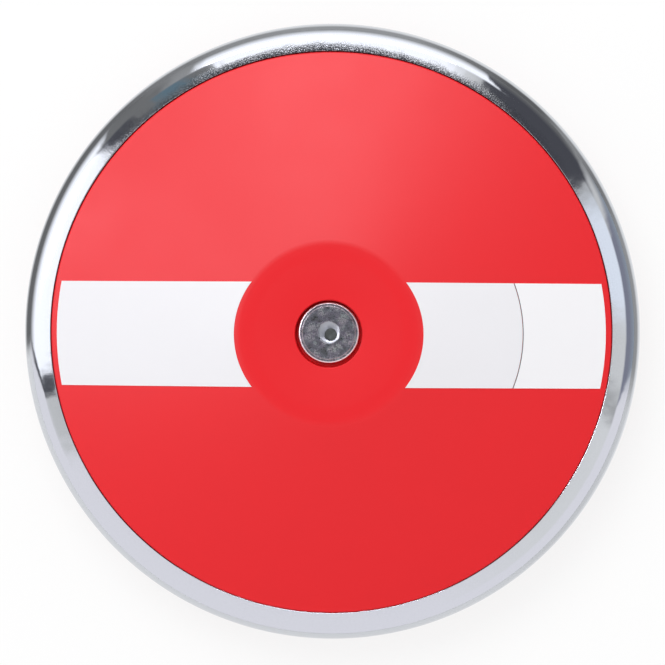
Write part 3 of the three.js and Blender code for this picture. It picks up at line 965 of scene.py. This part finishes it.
def studio_world(sizes):
    """White to the camera. Gloss mirrors a white room with two softboxes at the back and dark screens
    beside them, and matt surfaces get an even light that is a little stronger from the back left."""
    world = bpy.data.worlds.new("pale_studio")
    bpy.context.scene.world = world
    add = emptied(world)
    direction = add("TexCoord").outputs["Generated"]
    share, rise = azimuth_share(add, direction)
    # The edges of the lower room slant a little: a higher direction counts as further towards +Y.
    lean = (0, 0, 0.13)
    pushed = add("CombineXYZ", {"Y": add("VectorMath", [direction, lean], operation="DOT_PRODUCT")})
    leaned = add("VectorMath", [direction, pushed], operation="ADD")
    leaning = azimuth_share(add, leaned)[0]
    box = (1.52, 1.53, 1.6, 1)
    room = (1.03, 1.01, 1.06, 1)
    cool = (1.06, 1.12, 1.23, 1)
    slate = (0.29, 0.3, 0.375, 1)
    haze = (0.37, 0.42, 0.49, 1)
    blue = (0.158, 0.24, 0.295, 1)
    grey = 0.23
    screen = (0.093, 0.094, 0.11, 1)
    canopy = (0.21, 0.21, 0.225, 1)
    high_stops = round_the_horizon(
        (-180, -170.4, box), (-169.6, -165.7, screen), (-165, -158, 0.77), (-152, -75, room),
        (-50, -24, 0.95), (-20, -20, 0.5), (-14, -4, 0.86), (4, 22, cool), (30, 30, 0.6),
        (31.3, 60.5, screen), (62.5, 65.5, 0.88), (71, 119, box), (119.8, 125, grey), (126, 132, blue),
        (133, 138.5, grey), (139.5, 146.7, screen), (147.3, 180, box),
    )
    low_stops = round_the_horizon(
        (-180, -178.6, box), (-177.9, -175.6, screen), (-174.8, -10, room), (-8, 24, slate),
        (29.5, 33, 0.8), (38, 60.5, screen), (61.5, 117.5, box), (119, 123, 0.4), (126, 140, grey),
        (141, 180, box),
    )
    skirt_stops = round_the_horizon(
        (-180, -177.5, 0.3), (-175, -13, room), (-8, 26, haze), (32, 36, 0.38), (42, 56, 0.21),
        (59, 61, 0.25), (66, 68, 0.45), (105, 105, 0.45), (118, 124, 0.36), (132, 136, 0.22),
        (148, 180, 0.3),
    )
    high = add("ValToRGB", [share], stops=high_stops)
    low = add("ValToRGB", [leaning], stops=low_stops)
    skirt = add("ValToRGB", [leaning], stops=skirt_stops)
    above_skirt = add("MapRange", [rise, 0.05, 0.5])
    above_low = add("MapRange", [rise, 0.72, 0.82])
    lower = add("Mix", [above_skirt, skirt, low], data_type="RGBA")
    ring = add("Mix", [above_low, lower, high], data_type="RGBA")
    # A dark oval canopy hangs over the disc, a little off its middle.
    oval = {"Vector": direction, "Location": (-0.06, 0.16, 0), "Scale": (0.24, 0.295, 1)}
    reach = from_axis(add, add("Mapping", oval, vector_type="TEXTURE"))
    overhead = add("MapRange", [reach, 1.02, 0.98])
    studio = add("Mix", [overhead, ring, canopy], data_type="RGBA", blend_type="DARKEN")
    mirrored = add("Background", [studio, 1])
    stronger = add("VectorMath", [direction, (-0.075, 0.185, 0)], operation="DOT_PRODUCT")
    matt = add("Background", [(1, 1, 1, 1), add("Math", [stronger, sizes.fill], operation="ADD")])
    white = add("Background", [(1, 1, 1, 1), 1])
    path = add("LightPath")
    lit = add("MixShader", [path.outputs["Is Glossy Ray"], matt, mirrored])
    add("OutputWorld", [add("MixShader", [path.outputs["Is Camera Ray"], lit, white])])


def pale_floor_material(sizes):
    """A matt white sweep with the disc's soft shadow, lifted a little for the camera. In reflections the
    floor is painted: next to the disc it glows plain white with no shadow, as painted light, and further out
    it is painted darker in sectors round the disc, as painted reflections of dark surroundings that the scene
    does not hold."""
    material = bpy.data.materials.new("matt_white_sweep")
    add = emptied(material)
    place = add("TexCoord").outputs["Object"]
    # Painted reflection: darker sectors round the disc, seen only in gloss.
    reflected_shade_stops = round_the_horizon(
        (-180, -177.5, 0.19), (-175, -60, 0.95), (-45, -16, 0.84), (-8, 18, 0.41), (27, 31, 0.27),
        (37, 41, 0.35), (47, 55, 0.16), (62, 64, 0.25), (76, 98, 0.42), (107, 112, 0.36), (120, 125, 0.28),
        (135, 180, 0.19),
    )
    reflected_shade = add("ValToRGB", [azimuth_share(add, place)[0]], stops=reflected_shade_stops)
    bright = add("Mapping", {"Vector": place, "Location": (-sizes.bright_x, -sizes.bright_y, 0)})
    reach = from_axis(add, bright)
    bright_end = sizes.bright_radius + sizes.bright_fade
    far = add("MapRange", [reach, sizes.bright_radius, bright_end], interpolation_type="SMOOTHERSTEP")
    path = add("LightPath")
    plain = add("BsdfDiffuse", {"Color": linear("#fbfbfb")})
    # Next to the disc the floor glows white for gloss: painted light, with no shadow.
    white = add("Emission", [(1, 1, 1, 1), 1])
    mirrored = add("MixShader", [far, white, add("BsdfDiffuse", {"Color": reflected_shade})])
    lit = add("MixShader", [path.outputs["Is Glossy Ray"], plain, mirrored])
    lift = add("Math", [path.outputs["Is Camera Ray"], sizes.floor_lift], operation="MULTIPLY")
    add("OutputMaterial", [add("MixShader", [lift, lit, white])])
    return material


def soft_lamp(name, azimuth, elevation, distance, width, height, power):
    """A soft oval lamp that looks at the disc's middle."""
    light = bpy.data.lights.new(name, "AREA")
    light.shape = "ELLIPSE"
    light.size = width
    light.size_y = height
    light.energy = power
    lamp = put_in_scene(name, light)
    away = Vector((math.cos(azimuth), math.sin(azimuth), math.tan(elevation))).normalized()
    lamp.location = away * distance
    lamp.rotation_euler = away.to_track_quat("Z", "Y").to_euler()
    return lamp


class DISCUS_OT_stage(bpy.types.Operator):
    """Sets the floor, the light and the camera"""

    bl_idname = "discus.stage"
    bl_label = "Stage"

    def execute(self, context):
        sizes = context.scene.discus_stage
        bm = bmesh.new()
        bmesh.ops.create_grid(bm, x_segments=1, y_segments=1, size=sizes.floor_half)
        bmesh.ops.translate(bm, verts=bm.verts, vec=(0, 0, cad_box[0].z - sizes.floor_gap))
        floor = put_in_scene("floor", to_mesh("floor", bm))
        floor.data.materials.append(pale_floor_material(sizes))
        studio_world(sizes)
        key = soft_lamp(
            "key", sizes.key_azimuth, sizes.key_elevation, sizes.key_distance, sizes.key_width,
            sizes.key_width, sizes.key_power,
        )
        key.visible_glossy = False
        for name, azimuth, width, power in (
            ("back", sizes.back_azimuth, sizes.back_width, sizes.back_power),
            ("left", sizes.left_azimuth, sizes.left_width, sizes.left_power),
        ):
            lamp = soft_lamp(
                name, azimuth, sizes.tube_elevation, sizes.tube_distance, width, sizes.tube_height, power
            )
            lamp.data.color = sizes.tube_tone
            lamp.visible_diffuse = False
        camera_data = bpy.data.cameras.new("camera")
        camera_data.lens = sizes.lens
        camera_data.sensor_width = sizes.sensor
        camera = put_in_scene("camera", camera_data)
        back = (Vector(sizes.camera_place) - Vector(sizes.camera_aim)).normalized()
        right = Vector((0, 1, 0)).cross(back).normalized()
        facing = Matrix((right, back.cross(right), back)).transposed().to_4x4()
        camera.matrix_world = Matrix.Translation(sizes.camera_place) @ facing
        context.scene.camera = camera
        context.scene.view_settings.view_transform = "Standard"
        return {"FINISHED"}


class DISCUS_PT_sidebar(bpy.types.Panel):
    """The pieces of the discus"""

    bl_idname = "DISCUS_PT_sidebar"
    bl_label = "Discus"
    bl_space_type = "VIEW_3D"
    bl_region_type = "UI"
    bl_category = "Discus"

    def draw(self, context):
        for operator in OPERATORS:
            self.layout.operator(operator.bl_idname)
        for name in GROUPS:
            group = getattr(context.scene, name)
            box = self.layout.box()
            for key in group.bl_rna.properties.keys():
                if key not in ("rna_type", "name"):
                    box.prop(group, key)


OPERATORS = (
    DISCUS_OT_rim,
    DISCUS_OT_side_plates,
    DISCUS_OT_fasteners,
    DISCUS_OT_trim_weights,
    DISCUS_OT_labels,
    DISCUS_OT_stage,
)
GROUPS = {
    "discus_form": DiscSizes,
    "discus_rim": RimSizes,
    "discus_plates": PlateSizes,
    "discus_fasteners": FastenerSizes,
    "discus_labels": LabelSizes,
    "discus_stage": StageSizes,
}


def register():
    for made in (*GROUPS.values(), *OPERATORS, DISCUS_PT_sidebar):
        bpy.utils.register_class(made)
    for name, group in GROUPS.items():
        setattr(bpy.types.Scene, name, PointerProperty(type=group))


def unregister():
    for name in GROUPS:
        delattr(bpy.types.Scene, name)
    for made in (DISCUS_PT_sidebar, *reversed(OPERATORS), *reversed(GROUPS.values())):
        bpy.utils.unregister_class(made)


def main():
    register()
    bpy.ops.discus.rim()
    bpy.ops.discus.side_plates()
    bpy.ops.discus.fasteners()
    bpy.ops.discus.trim_weights()
    bpy.ops.discus.labels()
    bpy.ops.discus.stage()


if __name__ == "__main__":
    main()
